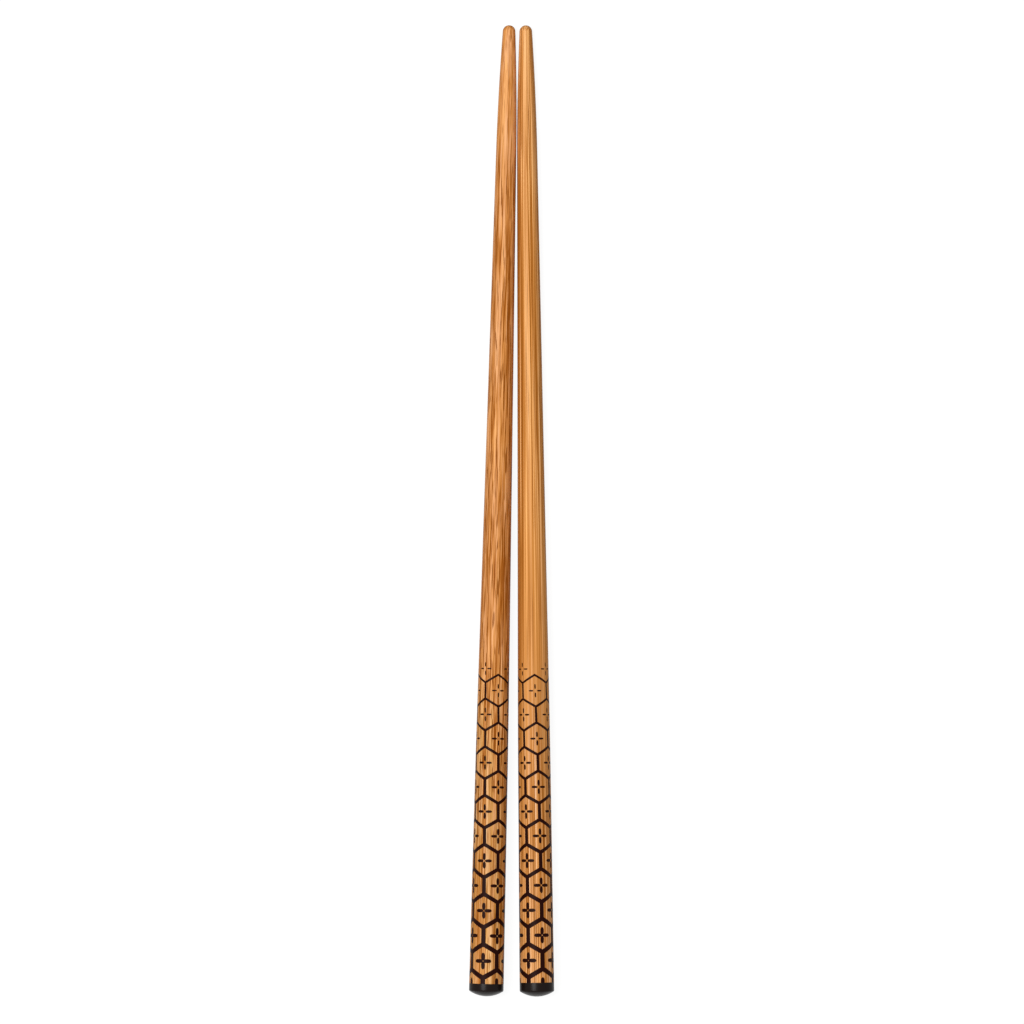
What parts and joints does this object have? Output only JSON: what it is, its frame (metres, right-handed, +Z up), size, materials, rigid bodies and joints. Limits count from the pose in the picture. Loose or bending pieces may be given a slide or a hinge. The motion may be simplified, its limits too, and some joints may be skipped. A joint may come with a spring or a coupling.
{
  "type": "pair of chopsticks",
  "caption": "Round, tapered bamboo chopsticks with crowned black-lacquered butts, a printed hexagon pattern on the grip and rounded tips, lying side by side as a pair.",
  "frame": {"origin": "on the table, under the middle of the pair's bounding box", "axes": "+Z up, +Y along the sticks from the butts to the tips, +X towards the right-hand stick"},
  "size_m": [0.0196, 0.225, 0.0083],
  "materials": {
    "lacquered_bamboo": "steamed brown bamboo under clear satin lacquer, with dark brown print and a black lacquered butt"
  },
  "bodies": {
    "root": {"left_chopstick": "lacquered_bamboo", "right_chopstick": "lacquered_bamboo"}
  },
  "joints": []
}
